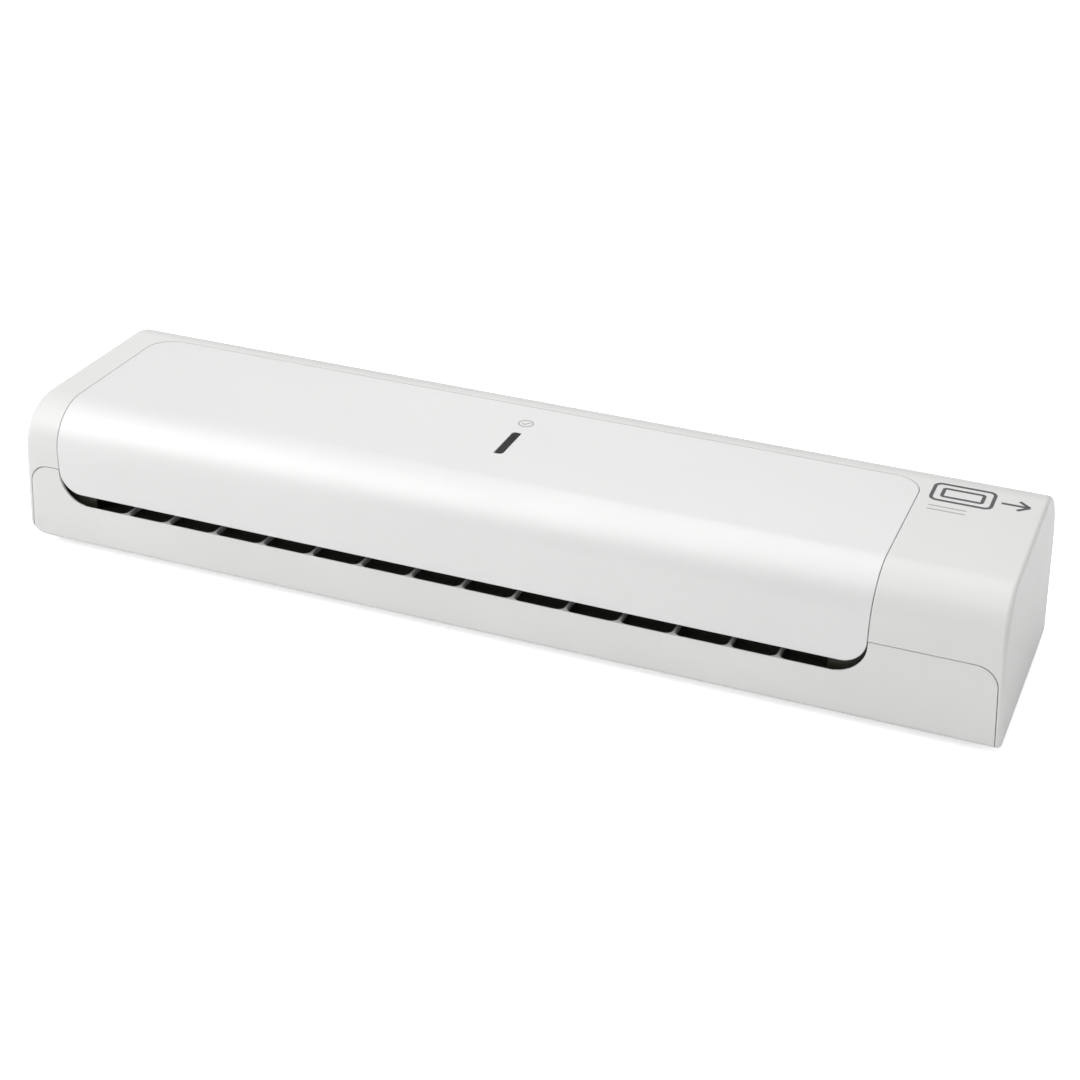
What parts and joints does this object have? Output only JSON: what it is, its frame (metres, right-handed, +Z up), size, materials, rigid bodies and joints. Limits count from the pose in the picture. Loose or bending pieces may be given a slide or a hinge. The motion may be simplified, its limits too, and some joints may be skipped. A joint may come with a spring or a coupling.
{
  "type": "pouch laminator",
  "caption": "Compact A4 hot pouch laminator: low rounded white casing with a front feed slot, heated roller pair with gear drive, rear exit, jam release, power switch and cord.",
  "frame": {"origin": "centre of the footprint of the whole row, cord and plug included, on the table under the rubber feet", "axes": "+X along the length towards the drive end, +Y from the feed slot at the front to the exit slot at the rear, +Z up"},
  "size_m": [0.3201, 0.1262, 0.0528],
  "materials": {
    "cover_plastic": "satin injection-moulded ABS, off-white",
    "panel_plastic": "pearl white paint on ABS",
    "lens_plastic": "smoked translucent acrylic",
    "guide_plastic": "black heat-resistant moulding, fine grain",
    "zinc_steel": "zinc-plated sheet",
    "gearbox_metal": "plated gearbox housing",
    "ground_steel": "ground bar",
    "clip_steel": "spring steel, oiled",
    "screw_steel": "zinc-plated",
    "silicone": "red-brown silicone rubber, satin",
    "shoe_aluminium": "extruded and bent sheet",
    "heater_film": "polyimide-faced heating strip",
    "bearing_plastic": "glass-filled heat-resistant polymer",
    "gear_nylon": "natural acetal",
    "control_plastic": "black moulded plastic, fine texture",
    "fuse_ceramic": "ceramic sleeve",
    "terminal_brass": "plated brass",
    "circuit_board": "green solder mask",
    "component_plastic": "moulded component cases",
    "led_epoxy": "diffused epoxy",
    "wire_insulation": "fibreglass-sleeved and PVC wire",
    "foot_rubber": "soft grey-black rubber",
    "cord_rubber": "black flexible mains cord"
  },
  "bodies": {
    "housing": {"upper_cover": "cover_plastic", "top_panel": "panel_plastic", "lower_housing": "cover_plastic", "indicator_lens": "lens_plastic", "lower_feed_guide": "guide_plastic", "upper_feed_guide": "guide_plastic", "lower_exit_guide": "guide_plastic", "upper_exit_guide": "guide_plastic", "left_side_frame": "zinc_steel", "right_side_frame": "zinc_steel", "lower_bearing_bushes": "bearing_plastic", "pressure_springs": "clip_steel", "lower_heater_shoe": "shoe_aluminium", "lower_heater_strips": "heater_film", "idler_pin": "ground_steel", "motor_gearbox": "gearbox_metal", "motor_can": "zinc_steel", "motor_bracket": "zinc_steel", "motor_standoffs": "zinc_steel", "motor_screws": "screw_steel", "bracket_screws": "screw_steel", "switch_body": "control_plastic", "switch_terminals": "terminal_brass", "control_board": "circuit_board", "board_components": "component_plastic", "board_screws": "screw_steel", "terminal_block": "control_plastic", "led_board": "circuit_board", "ready_led": "led_epoxy", "internal_leads": "wire_insulation", "rubber_feet": "foot_rubber", "cover_screws": "screw_steel", "frame_screws": "screw_steel", "power_cord": "cord_rubber", "strain_relief": "control_plastic", "plug_body": "control_plastic", "plug_pins": "terminal_brass", "cord_tie": "control_plastic"},
    "lower_roller": {"lower_roller_shaft": "ground_steel", "lower_roller_sleeve": "silicone", "lower_roller_gear": "gear_nylon", "lower_shaft_clips": "clip_steel"},
    "upper_carriage": {"left_bearing_block": "bearing_plastic", "right_bearing_block": "bearing_plastic", "upper_heater_shoe": "shoe_aluminium", "upper_heater_strip": "heater_film", "thermostat": "control_plastic", "thermal_fuse": "fuse_ceramic"},
    "upper_roller": {"upper_roller_shaft": "ground_steel", "upper_roller_sleeve": "silicone", "upper_roller_gear": "gear_nylon", "upper_shaft_clips": "clip_steel"},
    "idler": {"idler_gear": "gear_nylon"},
    "pinion": {"motor_pinion": "gear_nylon", "motor_shaft": "ground_steel"},
    "release": {"release_shaft": "ground_steel", "release_toes": "bearing_plastic", "release_lever": "control_plastic"},
    "rocker": {"power_rocker": "control_plastic"}
  },
  "joints": [
    {"name": "lower_roller_spin", "type": "hinge", "parent": "housing", "child": "lower_roller", "pos_m": [0, -0.02273, 0.014], "axis": [1, 0, 0], "continuous": true},
    {"name": "release_turn", "type": "hinge", "parent": "housing", "child": "release", "pos_m": [0, -0.00273, 0.037], "axis": [1, 0, 0], "range_deg": [-16.1, 0]},
    {"name": "upper_carriage_lift", "type": "slide", "parent": "housing", "child": "upper_carriage", "axis": [0, 0, 1], "range_m": [0, 0.00165], "deforming": ["pressure_springs"]},
    {"name": "upper_roller_spin", "type": "hinge", "parent": "upper_carriage", "child": "upper_roller", "pos_m": [0, -0.02273, 0.029], "axis": [1, 0, 0], "continuous": true},
    {"name": "idler_spin", "type": "hinge", "parent": "housing", "child": "idler", "pos_m": [0, -0.00539, 0.0164], "axis": [1, 0, 0], "continuous": true},
    {"name": "pinion_spin", "type": "hinge", "parent": "housing", "child": "pinion", "pos_m": [0, -0.00539, 0.03265], "axis": [1, 0, 0], "continuous": true},
    {"name": "power_rocker_tip", "type": "hinge", "parent": "housing", "child": "rocker", "pos_m": [0.136, 0.01789, 0.01373], "axis": [0, -0.1263, -0.992], "range_deg": [-16, 0]}
  ],
  "couplings": [
    {"joint": "upper_roller_spin", "follows": "lower_roller_spin", "ratio": -1},
    {"joint": "idler_spin", "follows": "lower_roller_spin", "ratio": -0.75},
    {"joint": "pinion_spin", "follows": "lower_roller_spin", "ratio": 1.2},
    {"joint": "release_turn", "follows": "upper_carriage_lift", "rad_per_m": -170}
  ]
}
